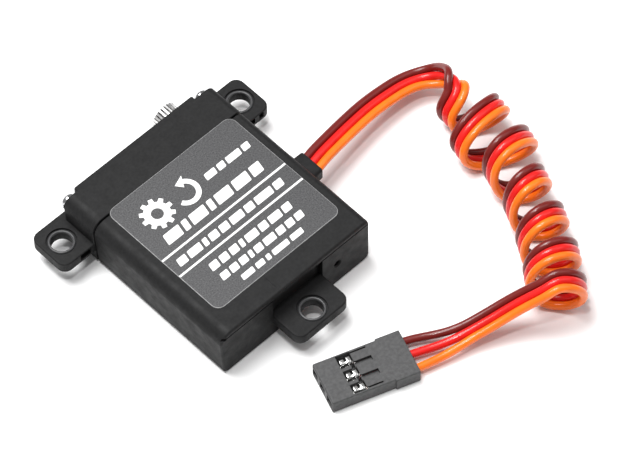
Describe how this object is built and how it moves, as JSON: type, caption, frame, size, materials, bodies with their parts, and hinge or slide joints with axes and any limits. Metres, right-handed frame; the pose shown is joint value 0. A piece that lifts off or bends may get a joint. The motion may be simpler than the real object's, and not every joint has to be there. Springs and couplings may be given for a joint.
{
  "type": "hobby servo motor",
  "caption": "Thin wing servo lying on its flat side: black two-part case with mounting ears, toothed output shaft, label, and a curled flat lead to a plug.",
  "frame": {"origin": "on the surface that the servo lies on, below the middle of the servo's own box, with its ears and output shaft and without its lead", "axes": "+Y towards the free end of the output shaft, +X towards the side where the lead comes out, +Z from the plain face up to the labelled face"},
  "size_m": [0.0697, 0.0688, 0.0101],
  "materials": {
    "case_plastic": "near-black moulded nylon, fine spark-eroded texture, satin",
    "label_foil": "dark grey printed film sticker, fine grain, low gloss",
    "chrome_screw": "bright nickel-plated steel, polished dome",
    "steel": "turned and ground steel",
    "gear_brass": "cut brass, satin",
    "aluminium": "satin aluminium",
    "copper": "enamelled copper winding",
    "rubber": "moulded black rubber",
    "board_green": "green solder mask",
    "chip_black": "moulded epoxy",
    "resin_track": "phenolic resin with a carbon track",
    "ceramic_tan": "multilayer ceramic",
    "wire_insulation": "glossy PVC insulation in brown, red and orange",
    "plug_plastic": "dark grey moulded nylon, satin",
    "contact_metal": "bright tin-plated bronze"
  },
  "bodies": {
    "case": {"main_case": "case_plastic", "gear_case": "case_plastic", "label_sticker": "label_foil", "case_screw_1": "chrome_screw", "case_screw_2": "chrome_screw", "case_screw_3": "chrome_screw", "case_screw_4": "chrome_screw", "cable_grommet": "rubber", "gear_plate": "aluminium", "axle_pin_1": "steel", "axle_pin_2": "steel", "axle_pin_3": "steel", "front_bearing_outer_ring": "steel", "rear_bearing_outer_ring": "steel", "pot_body": "aluminium", "pot_track": "resin_track", "motor_can": "aluminium", "motor_end_cap": "chip_black", "motor_magnet": "steel", "motor_bush": "gear_brass", "circuit_board": "board_green", "control_chip": "chip_black", "driver_chip": "chip_black", "capacitor": "ceramic_tan", "resonator": "aluminium", "lead_exit": "wire_insulation", "lead_curl": "wire_insulation", "lead_tail": "wire_insulation", "connector_housing": "plug_plastic", "contact_1": "contact_metal", "contact_2": "contact_metal", "contact_3": "contact_metal"},
    "output": {"output_shaft": "steel", "output_gear": "steel", "front_bearing_inner_ring": "steel", "rear_bearing_inner_ring": "steel", "pot_rotor": "chip_black"},
    "rotor": {"motor_winding": "copper", "motor_shaft": "steel", "motor_pinion": "gear_brass"},
    "gear_1": {"compound_gear_1": "gear_brass"},
    "gear_2": {"compound_gear_2": "gear_brass"},
    "gear_3": {"compound_gear_3": "gear_brass"},
    "gear_4": {"compound_gear_4": "gear_brass"},
    "gear_5": {"compound_gear_5": "gear_brass"}
  },
  "joints": [
    {"name": "rotor_turn", "type": "hinge", "parent": "case", "child": "rotor", "pos_m": [-0.0099, 0.01378, 0.005], "axis": [0, 1, 0], "range_deg": [-22140.52, 22140.52]},
    {"name": "output_turn", "type": "hinge", "parent": "case", "child": "output", "pos_m": [0.0085, 0.01978, 0.005], "axis": [0, 1, 0], "range_deg": [-60, 60]},
    {"name": "gear_5_turn", "type": "hinge", "parent": "case", "child": "gear_5", "pos_m": [0.0038, 0.01378, 0.005], "axis": [0, 1, 0], "continuous": true},
    {"name": "gear_4_turn", "type": "hinge", "parent": "case", "child": "gear_4", "pos_m": [-0.0008, 0.01378, 0.005], "axis": [0, 1, 0], "continuous": true},
    {"name": "gear_3_turn", "type": "hinge", "parent": "case", "child": "gear_3", "pos_m": [0.0038, 0.01378, 0.005], "axis": [0, 1, 0], "continuous": true},
    {"name": "gear_2_turn", "type": "hinge", "parent": "case", "child": "gear_2", "pos_m": [-0.0008, 0.01378, 0.005], "axis": [0, 1, 0], "continuous": true},
    {"name": "gear_1_turn", "type": "hinge", "parent": "case", "child": "gear_1", "pos_m": [-0.0054, 0.01378, 0.005], "axis": [0, 1, 0], "continuous": true}
  ],
  "couplings": [
    {"joint": "output_turn", "follows": "rotor_turn", "ratio": 0.00271},
    {"joint": "gear_5_turn", "follows": "rotor_turn", "ratio": -0.0065039},
    {"joint": "gear_4_turn", "follows": "rotor_turn", "ratio": 0.014309},
    {"joint": "gear_3_turn", "follows": "rotor_turn", "ratio": -0.034341},
    {"joint": "gear_2_turn", "follows": "rotor_turn", "ratio": 0.089286},
    {"joint": "gear_1_turn", "follows": "rotor_turn", "ratio": -0.25}
  ]
}
